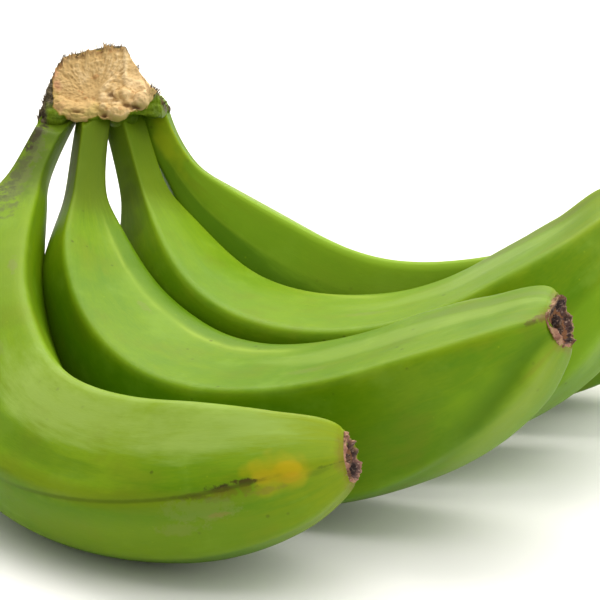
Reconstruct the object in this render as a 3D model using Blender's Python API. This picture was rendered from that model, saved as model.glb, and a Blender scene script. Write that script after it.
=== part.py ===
"""A hand of four green bananas: four fingers that grew from one crown, lying on their bellies.

World frame in metres, +Z up, the floor at z = 0, the origin under the middle of the hand.
The fingers fan out from the crown at the back left. Their concave sides face up.
"""

import math

import bmesh
import bpy
import numpy as np
from mathutils import Vector

MM = 0.001

# Where the middle of the crown's underside stands. Every other point is measured from it, in mm.
CROWN_AT = np.array((-62.5, 69.7, 75.4))
GAP = 0.35  # between pieces that touch

# The centre line of each finger: the six control points of a cubic spline, from the crown to the
# blossom end. The neck and the belly are the radii at the thinnest and the fullest. The turn is how
# far the flat inner face is rolled towards the finger's left at the crown and at the blossom end,
# in degrees.
FINGERS = {
    "banana_front": {
        "line": [
            (-12, -3.4, 1),
            (-31.9, -36.2, -30),
            (-27, -73.3, -52.3),
            (-6.4, -117.8, -61.9),
            (39, -144.5, -53.2),
            (65.6, -142, -43.7),
        ],
        "neck": 4.1,
        "belly": 19,
        "turn": (-23.5, 15),
    },
    "banana_second": {
        "line": [
            (-3.1, -3.1, -1.1),
            (-8.5, -26.7, -35.3),
            (8.9, -69.2, -56.7),
            (43.9, -97.7, -60.5),
            (89.9, -109.5, -43.9),
            (117.3, -112.2, -20.7),
        ],
        "neck": 4.05,
        "belly": 19.9,
        "turn": (32.5, 47.5),
    },
    "banana_third": {
        "line": [
            (5.1, 0.5, -1.7),
            (12.4, -12.2, -24.7),
            (20.4, -39.4, -53.8),
            (78.9, -71.8, -61.1),
            (128.2, -58.9, -36.2),
            (140.1, -57.8, -10.4),
        ],
        "neck": 4.5,
        "belly": 21.8,
        "turn": (26.5, 31),
    },
    "banana_back": {
        "line": [
            (12.7, 7.7, 0.5),
            (16.9, -2.3, -14.8),
            (44.9, -12.4, -41.4),
            (86.7, -24, -65.3),
            (146.9, -22.2, -47.8),
            (161.7, -22.7, -25),
        ],
        "neck": 4.15,
        "belly": 21.4,
        "turn": (-1, -10.5),
    },
}

# The girth along a finger, as distances in mm from its two ends.
NECK_ROOT = 7.0  # how far the neck runs on into the crown, which cuts it off
NECK_LENGTH = 24.2
FULL_AT = 119.5  # from the crown end, where the belly is full
SHOULDER = 0.328  # how abruptly the neck opens into the body: 1 is a plain smooth step
SHOULDER_SOFTNESS = 0.05  # rounds the start of the shoulder, as a share of the opening's length
NOSE_LENGTH = 44.2
NOSE_SHAPE = 0.709  # 0.5 is a round nose, 1 a pointed one
SCAR_SHARE = 0.345  # radius of the blossom scar, as a share of the belly
SCAR_LEAN = 0.32  # how far the blossom scar leans back from square, as a slope
LEAN_LENGTH = 14.0

# The five-sided section: the direction of each flat, in degrees from the inner face, and how far
# out it lies, on the body and at the blossom end. The corner power rounds the ridges between the
# flats: more is sharper.
BODY_ANGLES = (0, 94.7, 157.5, 202.5, 265.3)
BODY_REACH = (0.928, 0.811, 0.904, 0.904, 0.811)
END_ANGLES = (0, 89, 144.4, 201.6, 265)
END_REACH = (0.862, 0.985, 0.801, 0.801, 0.985)
FLATS_TURN = 68.5  # the flats turn from one to the other over this length before the blossom end
CORNER_POWER = 9

# The dry stub of the blossom: steps of length from the nose in mm and share of the scar's radius.
SCAR_STEPS = ((0.5, 1.06), (1.9, 0.98), (3.0, 0.66))
SCAR_DIMPLE = 2.2

LINE_RESOLUTION = 48  # points drawn for each span of a centre line
STATIONS = 46
STATION_CROWDING = 0.5  # 0 is evenly spaced
SIDES = 26

# The crown as a row of sections from its left end to its right end, in mm: how far along, and the
# bottom, top, front and back of the block there.
CROWN_SECTIONS = (
    (-17.6, -3.0, 0.5, -6.0, 3.0),
    (-16.6, -3.0, 3.0, -8.5, 6.0),
    (-15.0, -2.5, 8.0, -10.0, 8.5),
    (-12.5, -2.0, 13.2, -11.0, 10.5),
    (-10.5, -1.5, 15.2, -11.5, 11.5),
    (-4.5, -1.0, 16.6, -11.5, 12.5),
    (1.5, -0.5, 17.8, -11.5, 13.5),
    (6.0, -0.5, 18.2, -10.5, 14.5),
    (8.0, -0.5, 15.4, -10.0, 15.0),
    (10.2, -0.5, 11.2, -9.5, 15.5),
    (12.6, -0.5, 7.0, -9.0, 15.5),
    (14.6, -0.5, 4.6, -8.0, 15.0),
    (16.4, -0.4, 2.8, -4.5, 13.5),
    (17.4, 0.2, 2.0, 0.0, 11.0),
)
CROWN_SIDES = 28
CROWN_SQUARENESS = 4.5  # 2 is an ellipse, more is boxier

# The knife cuts that took the hand off its stalk: a point on each cut, in mm, and the way it faces.
KNIFE_CUTS = (
    ((0.0, -7.0, 0.0), (-0.08, -0.80, 0.60)),
    ((13.0, -6.0, 4.0), (0.45, -0.66, 0.60)),
)

FLOOR_POINT = (0.0, 0.0, 0.0)
FLOOR_FACING = (0.0, 0.0, -1.0)

SAME_POINT = 1e-7  # metres
SHARP_EDGE = math.radians(40)  # edges that bend more stay crisp

PEEL_GREEN = (0.20, 0.42, 0.03, 1)
CUT_TAN = (0.55, 0.37, 0.17, 1)


def material(name, colour, roughness):
    """A Principled BSDF finish for one kind of surface."""
    finish = bpy.data.materials.new(name)
    finish.use_nodes = True
    shader = finish.node_tree.nodes["Principled BSDF"]
    shader.inputs["Base Color"].default_value = colour
    shader.inputs["Roughness"].default_value = roughness
    shader.inputs["Metallic"].default_value = 0.0
    return finish


def smooth_step(x):
    """Rises from 0 at x = 0 to 1 at x = 1, level at both ends."""
    x = np.clip(x, 0.0, 1.0)
    return x * x * (3 - 2 * x)


def centre_line(points):
    """Stations along a clamped cubic spline: their points, the ways it runs there and how far along.

    The stations crowd towards both ends, where the girth changes fastest.
    """
    curve = bpy.data.curves.new("centre_line", "CURVE")
    curve.dimensions = "3D"
    curve.resolution_u = LINE_RESOLUTION
    spline = curve.splines.new("NURBS")
    spline.points.add(len(points) - 1)
    for knot, point in zip(spline.points, points):
        knot.co = (*point, 1)
    spline.order_u = 4
    spline.use_endpoint_u = True
    guide = bpy.data.objects.new("centre_line", curve)
    drawn = np.array([vertex.co for vertex in guide.to_mesh().vertices])
    guide.to_mesh_clear()
    bpy.data.objects.remove(guide)
    bpy.data.curves.remove(curve)

    run = np.concatenate([[0.0], np.cumsum(np.linalg.norm(np.diff(drawn, axis=0), axis=1))])
    even = np.linspace(0.0, 1.0, STATIONS)
    along = run[-1] * (even - STATION_CROWDING * np.sin(2 * math.pi * even) / (2 * math.pi))
    stations = np.stack([np.interp(along, run, drawn[:, axis]) for axis in range(3)], axis=1)
    ways = np.gradient(stations, along, axis=0)
    return stations, ways / np.linalg.norm(ways, axis=1)[:, None], along


def girth(from_crown, length, neck, belly):
    """The finger's radius at each station: neck, shoulder, belly and nose."""
    past_neck = (from_crown - NECK_LENGTH) / (FULL_AT - NECK_LENGTH)
    past_neck = (past_neck + np.sqrt(past_neck**2 + SHOULDER_SOFTNESS**2)) / 2
    radius = neck + (belly - neck) * smooth_step(past_neck) ** SHOULDER
    into_nose = 1 - np.clip((length - from_crown) / NOSE_LENGTH, 0.0, 1.0)
    nose = SCAR_SHARE + (1 - SCAR_SHARE) * (1 - into_nose**2) ** NOSE_SHAPE
    return radius * nose


def five_sided(angles, ending):
    """The reach of the section at each angle, for a radius of 1. The ending is 1 at the blossom."""
    faced = (1 - ending) * np.radians(BODY_ANGLES) + ending * np.radians(END_ANGLES)
    reach = (1 - ending) * np.array(BODY_REACH) + ending * np.array(END_REACH)
    flats = np.maximum(0.0, np.cos(angles[:, None] - faced[None, :])) / reach
    return (flats**CORNER_POWER).sum(axis=1) ** (-1 / CORNER_POWER)


def finger_rings(line, neck, belly, turn):
    """Rings of points from the crown end to the dry stub of the blossom, and the stub's dimple."""
    stations, ways, along = centre_line(np.array(line) + CROWN_AT)
    radius = girth(along, along[-1], neck, belly)

    # The left of the finger is square to the plane that the finger curls in.
    curl_axis = np.cross(stations[STATIONS // 2] - stations[0], stations[-1] - stations[0])
    curl_axis /= np.linalg.norm(curl_axis)
    left = curl_axis - (ways @ curl_axis)[:, None] * ways
    left /= np.linalg.norm(left, axis=1)[:, None]
    inward = np.cross(left, ways)
    roll = np.radians(turn[0] + (turn[1] - turn[0]) * along / along[-1])[:, None]
    face_way = inward * np.cos(roll) + left * np.sin(roll)
    side_way = left * np.cos(roll) - inward * np.sin(roll)

    angles = np.linspace(0.0, 2 * math.pi, SIDES, endpoint=False)
    ending = smooth_step(1 - (along[-1] - along) / FLATS_TURN)
    leaning = SCAR_LEAN * smooth_step(1 - (along[-1] - along) / LEAN_LENGTH)
    section = []
    for k in range(STATIONS):
        reach = five_sided(angles, ending[k])[:, None]
        across = np.cos(angles)[:, None] * face_way[k] + np.sin(angles)[:, None] * side_way[k]
        drawn_out = leaning[k] * np.cos(angles + roll[k])[:, None] * ways[k]
        section.append(reach * (across + drawn_out))
    root = stations[0] - NECK_ROOT * ways[0]
    rings = [root + radius[0] * section[0]]
    rings += [stations[k] + radius[k] * section[k] for k in range(STATIONS)]
    for out, share in SCAR_STEPS:
        rings.append(stations[-1] + out * ways[-1] + share * radius[-1] * section[-1])
    dimple = stations[-1] + SCAR_DIMPLE * ways[-1]
    return rings, root, dimple


def closed_mesh(name, rings, first_pole, last_pole):
    """A mesh that skins the rings and closes each end on its pole."""
    sides = len(rings[0])
    points = [first_pole] + [point for ring in rings for point in ring] + [last_pole]
    faces = []
    for k in range(sides):
        after = (k + 1) % sides
        faces.append((0, 1 + after, 1 + k))
        for row in range(len(rings) - 1):
            low, high = 1 + row * sides, 1 + (row + 1) * sides
            faces.append((low + k, low + after, high + after, high + k))
        last = 1 + (len(rings) - 1) * sides
        faces.append((last + k, last + after, len(points) - 1))
    mesh = bpy.data.meshes.new(name)
    mesh.from_pydata([Vector(point) * MM for point in points], [], faces)
    return mesh


def tidy_faces(mesh):
    """Turns the faces outwards and shades the round ones smooth."""
    shape = bmesh.new()
    shape.from_mesh(mesh)
    bmesh.ops.recalc_face_normals(shape, faces=shape.faces)
    shape.to_mesh(mesh)
    shape.free()
    mesh.shade_smooth()
    mesh.set_sharp_from_angle(angle=SHARP_EDGE)


def crown_block(name, grow, headroom):
    """The crown before the knife, grown all round and made taller by the headroom."""
    angles = np.linspace(0.0, 2 * math.pi, CROWN_SIDES, endpoint=False)
    across = np.sign(np.cos(angles)) * np.abs(np.cos(angles)) ** (2 / CROWN_SQUARENESS)
    upward = np.sign(np.sin(angles)) * np.abs(np.sin(angles)) ** (2 / CROWN_SQUARENESS)
    rings = []
    for along, bottom, top, front, back in CROWN_SECTIONS:
        middle = CROWN_AT + np.array((along, (front + back) / 2, (bottom + top) / 2))
        depth = (back - front) / 2 + grow
        height = (top - bottom) / 2 + grow + headroom * (upward > 0)
        rings.append(middle + np.stack([0 * across, depth * across, height * upward], axis=1))
    rings[0][:, 0] -= grow
    rings[-1][:, 0] += grow
    mesh = closed_mesh(name, rings, rings[0].mean(axis=0), rings[-1].mean(axis=0))
    tidy_faces(mesh)
    return mesh


def slice_off(mesh, point, facing):
    """Cuts off what lies past the plane through the point, on the side it faces, and closes the cut."""
    shape = bmesh.new()
    shape.from_mesh(mesh)
    everything = shape.verts[:] + shape.edges[:] + shape.faces[:]
    sliced = bmesh.ops.bisect_plane(
        shape,
        geom=everything,
        dist=SAME_POINT,
        plane_co=Vector(point) * MM,
        plane_no=Vector(facing),
        clear_outer=True,
    )
    rim = [item for item in sliced["geom_cut"] if isinstance(item, bmesh.types.BMEdge)]
    bmesh.ops.contextual_create(shape, geom=rim)
    shape.to_mesh(mesh)
    shape.free()


def place(name, mesh, finish):
    """Puts a finished mesh in the scene as one named sub-part."""
    mesh.materials.append(finish)
    part = bpy.data.objects.new(name, mesh)
    bpy.context.scene.collection.objects.link(part)
    return part


for leftover in list(bpy.data.objects):
    bpy.data.objects.remove(leftover)

peel = material("green_peel", PEEL_GREEN, 0.42)
dry_cut = material("dry_cut_crown", CUT_TAN, 0.9)

neck_cutter = place("neck_cutter", crown_block("neck_cutter", GAP, NECK_ROOT), dry_cut)
neck_cutter.hide_render = True
neck_cutter.display_type = "WIRE"

for finger_name, finger in FINGERS.items():
    rings, root, dimple = finger_rings(**finger)
    skin = closed_mesh(finger_name, rings, root, dimple)
    slice_off(skin, FLOOR_POINT, FLOOR_FACING)  # the belly is flat where it rests
    tidy_faces(skin)
    banana = place(finger_name, skin, peel)
    neck_end = banana.modifiers.new("neck_end", "BOOLEAN")
    neck_end.operation = "DIFFERENCE"
    neck_end.object = neck_cutter

crown_mesh = crown_block("crown", 0.0, 0.0)
for cut_point, cut_facing in KNIFE_CUTS:
    slice_off(crown_mesh, CROWN_AT + np.array(cut_point), cut_facing)
tidy_faces(crown_mesh)
place("crown", crown_mesh, dry_cut)
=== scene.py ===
"""A hand of four green bananas at one cut crown, dressed for a studio picture."""

import math

import bmesh
import bpy
import numpy as np
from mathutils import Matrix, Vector, noise


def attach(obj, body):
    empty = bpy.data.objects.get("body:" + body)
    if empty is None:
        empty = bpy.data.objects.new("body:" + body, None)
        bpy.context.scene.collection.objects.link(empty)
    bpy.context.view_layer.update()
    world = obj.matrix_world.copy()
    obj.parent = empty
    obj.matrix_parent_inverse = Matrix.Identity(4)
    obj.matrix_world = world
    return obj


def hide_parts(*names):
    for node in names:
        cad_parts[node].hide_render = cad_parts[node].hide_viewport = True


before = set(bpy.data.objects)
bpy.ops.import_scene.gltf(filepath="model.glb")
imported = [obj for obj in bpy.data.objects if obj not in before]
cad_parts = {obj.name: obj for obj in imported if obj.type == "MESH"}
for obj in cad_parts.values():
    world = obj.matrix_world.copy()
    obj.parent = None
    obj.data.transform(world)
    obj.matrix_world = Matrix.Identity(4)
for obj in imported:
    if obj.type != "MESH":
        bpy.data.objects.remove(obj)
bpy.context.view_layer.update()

# THE FOUR FINGERS: how a banana grows
# Each finger is a berry with a thick waxy peel. It grows out of the crown on a thin neck, opens
# at the shoulder into a five-sided body and closes at the blossom end. The peel has five flats
# with ridges between them, and the ridges run the whole length.

MM = 0.001
FULL_TURN = 2 * math.pi
CROWN_AT = np.array((-62.5, 69.7, 75.4))  # the middle of the crown's underside, in mm


def through(kind):
    """A method that puts a wire through one kind of Math node."""
    return lambda wire, *others: wire.maths(kind, *others)


class Wire:
    """A number on its way through a node tree. Sums written with it become Math nodes."""

    def __init__(self, socket):
        self.socket = socket
        self.tree = socket.id_data

    def maths(self, kind, *others):
        step = self.tree.nodes.new("ShaderNodeMath")
        step.operation = kind
        for slot, value in zip(step.inputs, (self, *others)):
            plug(slot, value)
        return Wire(step.outputs[0])

    __add__ = __radd__ = through("ADD")
    __sub__ = through("SUBTRACT")
    __mul__ = __rmul__ = through("MULTIPLY")
    __truediv__ = through("DIVIDE")
    __pow__ = through("POWER")
    sin = through("SINE")
    cos = through("COSINE")
    root = through("SQRT")
    size = through("ABSOLUTE")
    least = through("MAXIMUM")
    most = through("MINIMUM")
    over = through("GREATER_THAN")

    def __rsub__(self, other):
        return (self * -1.0) + other

    def __rtruediv__(self, other):
        return self**-1.0 * other

    def ramp(self, start, end, low=0.0, high=1.0, kind="SMOOTHSTEP"):
        """Goes from low to high while the number goes from start to end."""
        step = self.tree.nodes.new("ShaderNodeMapRange")
        step.interpolation_type = kind
        plug(step.inputs["Value"], self)
        for label, value in zip(("From Min", "From Max", "To Min", "To Max"), (start, end, low, high)):
            plug(step.inputs[label], value)
        return Wire(step.outputs["Result"])


class Arrow(Wire):
    """A vector on its way through a node tree."""

    def maths(self, kind, *others):
        step = self.tree.nodes.new("ShaderNodeVectorMath")
        step.operation = kind
        slots = [step.inputs[0], step.inputs[3] if kind == "SCALE" else step.inputs[1]]
        for slot, value in zip(slots, (self, *others)):
            plug(slot, value)
        return Wire(step.outputs["Value"]) if kind == "DOT_PRODUCT" else Arrow(step.outputs["Vector"])

    __mul__ = through("SCALE")
    dot = through("DOT_PRODUCT")
    cross = through("CROSS_PRODUCT")
    unit = through("NORMALIZE")

    def parts(self):
        """Its three numbers."""
        step = self.tree.nodes.new("ShaderNodeSeparateXYZ")
        plug(step.inputs[0], self)
        return [Wire(out) for out in step.outputs]


def plug(slot, value):
    """Feeds a socket from a wire or from a node's first output, or sets it."""
    if isinstance(value, bpy.types.Node):
        value = Wire(value.outputs[0])
    if isinstance(value, Wire):
        slot.id_data.links.new(value.socket, slot)
    else:
        slot.default_value = value


def node(tree, kind, settings=(), **inputs):
    """A new node with its settings made and its inputs fed, named with underscores for spaces."""
    made = tree.nodes.new(kind)
    for setting, value in dict(settings).items():
        setattr(made, setting, value)
    for label, value in inputs.items():
        plug(made.inputs[label.replace("_", " ")], value)
    return made


def arrow(tree, x, y, z):
    """A vector from three numbers."""
    return Arrow(node(tree, "ShaderNodeCombineXYZ", X=x, Y=y, Z=z).outputs[0])


def sheet(tree, rows, sides):
    """A flat grid to be rolled up, and the wires that run along it and around it."""
    grid = node(
        tree, "GeometryNodeMeshGrid", Size_X=1.0, Size_Y=1.0, Vertices_X=rows, Vertices_Y=sides
    )
    run, around, _ = Arrow(grid.outputs["UV Map"]).parts()
    return grid, run, around


def noted(tree, shape, label, kind, domain, value):
    """The shape with a named value noted on it."""
    note = {"data_type": kind, "domain": domain}
    inputs = {"Geometry": shape, "Name": label, "Value": value}
    return node(tree, "GeometryNodeStoreNamedAttribute", note, **inputs)


def speckle(at, scale, detail=2.0, rough=0.5):
    """Soft noise from 0 to 1 at a vector."""
    made = node(
        at.tree, "ShaderNodeTexNoise", Vector=at, Scale=scale, Detail=detail, Roughness=rough
    )
    return Wire(made.outputs[0])


def new_tree(name, asked):
    """A geometry tree with named inputs, and the wires that carry them."""
    tree = bpy.data.node_groups.new(name, "GeometryNodeTree")
    for label, kind in asked.items():
        tree.interface.new_socket(label, in_out="INPUT", socket_type="NodeSocket" + kind)
    tree.interface.new_socket("Geometry", in_out="OUTPUT", socket_type="NodeSocketGeometry")
    group = tree.nodes.new("NodeGroupInput")
    return tree, {label: Wire(group.outputs[label]) for label in asked}


def close_tree(tree, shape, finish):
    """Ends a tree: real geometry, smooth, with its material."""
    real = node(tree, "GeometryNodeRealizeInstances", Geometry=shape)
    smooth = node(tree, "GeometryNodeSetShadeSmooth", Geometry=real)
    dressed = node(tree, "GeometryNodeSetMaterial", Geometry=smooth, Material=finish)
    end = tree.nodes.new("NodeGroupOutput")
    tree.links.new(dressed.outputs[0], end.inputs[0])


def set_down(name, data):
    """A new object in the scene."""
    piece = bpy.data.objects.new(name, data)
    bpy.context.scene.collection.objects.link(piece)
    return piece


def plain_mesh(piece):
    """The piece's shape with its modifiers made real."""
    bpy.context.view_layer.update()
    graph = bpy.context.evaluated_depsgraph_get()
    return bpy.data.meshes.new_from_object(piece.evaluated_get(graph))


def grown(name, tree, **asked):
    """Runs a geometry tree with its inputs set, and keeps the result as a plain mesh object."""
    host = set_down(name + "_seed", bpy.data.meshes.new(name))
    growth = host.modifiers.new("growth", "NODES")
    growth.node_group = tree
    for item in tree.interface.items_tree:
        if item.in_out == "INPUT":
            growth[item.identifier] = asked[item.name.replace(" ", "_")]
    mesh = plain_mesh(host)
    mesh.name = name
    bpy.data.objects.remove(host)
    return set_down(name, mesh)


NECK_LENGTH = 24.2 * MM
FULL_AT = 119.5 * MM  # from the crown end, where the belly is full
SHOULDER = 0.328  # how abruptly the neck opens into the body
SHOULDER_SOFTNESS = 0.05
NOSE_LENGTH = 44.2 * MM
NOSE_SHAPE = 0.709  # 0.5 is a round nose, 1 a pointed one
SCAR_SHARE = 0.345  # radius of the blossom scar, as a share of the belly
STATION_CROWDING = 0.5  # how much closer the rows stand at the two ends
CURL_AT = 0.51667  # where along the finger the plane of its curl is taken
# The five flats: their direction in degrees from the inner face, and how far out each lies, on the
# body and at the blossom end.
BODY_FLATS = ((0, 0.928), (94.7, 0.811), (157.5, 0.904), (202.5, 0.904), (265.3, 0.811))
END_FLATS = ((0, 0.862), (89, 0.985), (144.4, 0.801), (201.6, 0.801), (265, 0.985))
FLATS_TURN = 68.5 * MM  # over this length before the blossom end
SCAR_LEAN = 0.32  # how far the blossom scar leans back from square, as a slope
LEAN_LENGTH = 14.0 * MM
SWELL = 0.12 * MM  # the ripe outline over the CAD's, which closes the hairline between neighbours
FURROWS = 0.30 * MM  # how deep the fine furrows are
BROAD_SWELLS = 0.8 * MM
LIP_HEIGHT = 0.7 * MM  # how far the green lip stands out round the blossom scar
SCAR_DEPTH = 3.2 * MM  # how far the peel closes in under the dry blossom end
BODY_ROWS = 230  # of faces from the root to the blossom end, then over the end, and round
END_ROWS = 9
SIDES = 112
STITCH = 0.002 * MM  # points closer than this are sewn together
UV_LENGTH = 250.0 * MM  # length of finger in one unit of the peel's map
CUT_AT = (0.0, -7.0, 0.0)  # a point on the knife cut, in mm from the crown, and the way it faces
CUT_WAY = (-0.08, -0.80, 0.60)
# The sizes that the trees of a finger ask for, and everything else that they are given.
FINGER_SIZES = (
    "Neck Radius", "Belly Radius", "Turn At Crown", "Turn At Blossom", "Root", "Crispness",
    "Groove Angle", "Groove Turn", "Groove Width", "Groove Depth", "Groove Start", "Groove End",
    "Bulge Angle", "Bulge At", "Bulge Length", "Bulge Height", "Grain",
)
FINGER_FACTS = {
    "Centre Line": "Object",
    **{size: "Float" for size in FINGER_SIZES},
    "Finish": "Material",
}


class FingerShape:
    """The rule that a finger grows by, written into a tree: its line, its flats and its girth."""

    def __init__(self, tree, ask):
        self.tree = tree
        self.ask = ask
        found = node(tree, "GeometryNodeObjectInfo", Object=ask["Centre Line"])
        self.guide = Wire(found.outputs["Geometry"])
        measured = node(tree, "GeometryNodeCurveLength", Curve=self.guide)
        self.length = Wire(measured.outputs["Length"])

    def on_line(self, **where):
        """The point of the centre line there, and the way that it runs."""
        mode = {"mode": "LENGTH" if "Length" in where else "FACTOR"}
        found = node(self.tree, "GeometryNodeSampleCurve", mode, Curves=self.guide, **where)
        return Arrow(found.outputs["Position"]), Arrow(found.outputs["Tangent"]).unit()

    def turn(self, along):
        """How far the flats have turned there."""
        start, end = self.ask["Turn At Crown"], self.ask["Turn At Blossom"]
        return along.ramp(0.0, self.length, start, end, "LINEAR")

    def frame(self, along):
        """The point at a distance from the crown, the way there, and the ways across the finger."""
        at, way = self.on_line(Length=along.least(0.0))
        at = at + way * along.most(0.0)
        root, _ = self.on_line(Factor=0.0)
        middle, _ = self.on_line(Factor=CURL_AT)
        tip, _ = self.on_line(Factor=1.0)
        curl = (middle - root).cross(tip - root).unit()
        left = (curl - way * way.dot(curl)).unit()
        inward = left.cross(way)
        turn = self.turn(along)
        face_way = inward * turn.cos() + left * turn.sin()
        side_way = left * turn.cos() - inward * turn.sin()
        return at, way, face_way, side_way

    def radius(self, along):
        """Neck, shoulder, belly and nose."""
        past = (along - NECK_LENGTH) / (FULL_AT - NECK_LENGTH)
        past = (past + (past * past + SHOULDER_SOFTNESS**2).root()) * 0.5
        opening = past.ramp(0.0, 1.0) ** SHOULDER
        neck, belly = self.ask["Neck Radius"], self.ask["Belly Radius"]
        radius = neck + (belly - neck) * opening
        nose = 1.0 - ((self.length - along) / NOSE_LENGTH).least(0.0).most(1.0)
        roundness = (1.0 - nose * nose).least(0.0) ** NOSE_SHAPE
        return radius * (roundness * (1.0 - SCAR_SHARE) + SCAR_SHARE)

    def reach(self, along, angle, power):
        """How far out the five flats lie at an angle."""
        ending = (self.length - along).ramp(FLATS_TURN, 0.0)
        total = 0.0
        for (flat, out), (end_flat, end_out) in zip(BODY_FLATS, END_FLATS):
            faced = ending * math.radians(end_flat - flat) + math.radians(flat)
            facing = (angle - faced).cos().least(0.0) / (ending * (end_out - out) + out)
            total = facing**power + total
        return total ** (power**-1.0 * -1.0)

    def lean(self, along, angle, radius):
        """How far a point near the blossom end is drawn out along the finger."""
        near = (self.length - along).ramp(LEAN_LENGTH, 0.0)
        return (angle + self.turn(along)).cos() * radius * near * SCAR_LEAN


def sewn_up(tree, grid, place, peel_map, finish):
    """Sets the grid's points in place, maps it and closes its seam and poles."""
    shaped = node(tree, "GeometryNodeSetPosition", Geometry=grid, Position=place)
    mapped = noted(tree, shaped, "peel_map", "FLOAT2", "CORNER", peel_map)
    sewn = node(tree, "GeometryNodeMergeByDistance", Geometry=mapped, Distance=STITCH)
    turned = node(tree, "GeometryNodeFlipFaces", Mesh=sewn)
    # how far each point faces up is noted, and the peel's finish paints light and shade from it
    _, _, upward = Arrow(tree.nodes.new("GeometryNodeInputNormal").outputs[0]).parts()
    close_tree(tree, noted(tree, turned, "sunny", "FLOAT", "POINT", upward), finish)


def peel_tree():
    """Grows the peel of one finger along a centre line."""
    tree, ask = new_tree("grow_peel", FINGER_FACTS)
    shape = FingerShape(tree, ask)
    rows = BODY_ROWS + END_ROWS + 2
    grid, run, around = sheet(tree, rows, SIDES + 1)

    # how far from the crown each row is, and how far it has closed over the blossom end
    row = run * (rows - 1.0)
    even = ((row - 1.0) / BODY_ROWS).least(0.0).most(1.0)
    crowded = even - (even * FULL_TURN).sin() * (STATION_CROWDING / FULL_TURN)
    along = crowded * (shape.length + ask["Root"]) - ask["Root"]
    closing = ((row - (1.0 + BODY_ROWS)) / END_ROWS).least(0.0).most(1.0)
    shut = (1.0 - closing * closing).least(0.0).root() * row.over(0.5)
    at, way, face_way, side_way = shape.frame(along)
    angle = around * FULL_TURN

    # the peel is never quite even: broad swells, and fine furrows that run lengthwise
    wrapped = arrow(tree, along * 14.0 + ask["Grain"], angle.cos() * 2.4, angle.sin() * 2.4)
    furrow = speckle(wrapped, 1.0, 3.0) - 0.5
    swell = speckle(wrapped + Vector((7.0, 0.0, 0.0)), 0.45, 1.0) - 0.5
    girth = shape.radius(along)
    fullness = girth / ask["Belly Radius"]
    uneven = furrow * FURROWS + swell * BROAD_SWELLS + SWELL
    out = girth * shape.reach(along, angle, ask["Crispness"]) + uneven * fullness * fullness

    # a groove that drifts round the finger towards the blossom end
    groove = ask["Groove Angle"] + along * ask["Groove Turn"]
    round_from_groove = (angle - groove).size()
    off_groove = round_from_groove * girth / ask["Groove Width"]
    fading_in = along.ramp(ask["Groove Start"], ask["Groove Start"] + 40.0 * MM)
    fading_out = along.ramp(ask["Groove End"], ask["Groove End"] - 14.0 * MM)
    hollow = round_from_groove.ramp(1.2, 0.6) / (1.0 + off_groove * off_groove)
    out = out - ask["Groove Depth"] * fading_in * fading_out * hollow

    # one side of the shoulder fills out where it grew into the room beside it
    off_bulge = (along - ask["Bulge At"]) / ask["Bulge Length"]
    fuller = (angle - ask["Bulge Angle"]).cos().least(0.0)
    out = out + ask["Bulge Height"] * fuller * fuller / (1.0 + off_bulge * off_bulge) ** 2.0
    around_way = face_way * angle.cos() + side_way * angle.sin()
    end_lip = (closing * math.pi).sin() * LIP_HEIGHT - closing * closing * SCAR_DEPTH
    lean = shape.lean(along, angle, out * shut)
    place = at + around_way * (out * shut) + way * (end_lip + lean)

    # the root is pared back to the knife cut, and the belly is pressed flat where it rests
    from_crown = place - Vector(CROWN_AT * MM)
    _, _, height = from_crown.parts()
    off_cut = Vector(CUT_WAY).normalized()
    proud = (from_crown - Vector(CUT_AT) * MM).dot(off_cut)
    allowed = height.ramp(-3.0 * MM, 2.0 * MM, 5.0 * MM, -0.5 * MM, "LINEAR")
    pared = (proud - allowed).least(0.0) * along.ramp(8.0 * MM, 5.0 * MM)
    place = place - arrow(tree, *off_cut) * pared
    x, y, z = place.parts()
    place = arrow(tree, x, y, z.least(0.0))
    sewn_up(tree, grid, place, arrow(tree, along / UV_LENGTH, around, 0.0), ask["Finish"])
    return tree


def centre_line(name, points):
    """The clamped cubic spline that a finger grew along."""
    curve = bpy.data.curves.new(name, "CURVE")
    curve.dimensions = "3D"
    curve.resolution_u = 48
    spline = curve.splines.new("NURBS")
    spline.points.add(len(points) - 1)
    for knot, point in zip(spline.points, points):
        knot.co = (*((CROWN_AT + point) * MM), 1)
    spline.order_u = 4
    spline.use_endpoint_u = True
    return set_down(name, curve)
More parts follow.
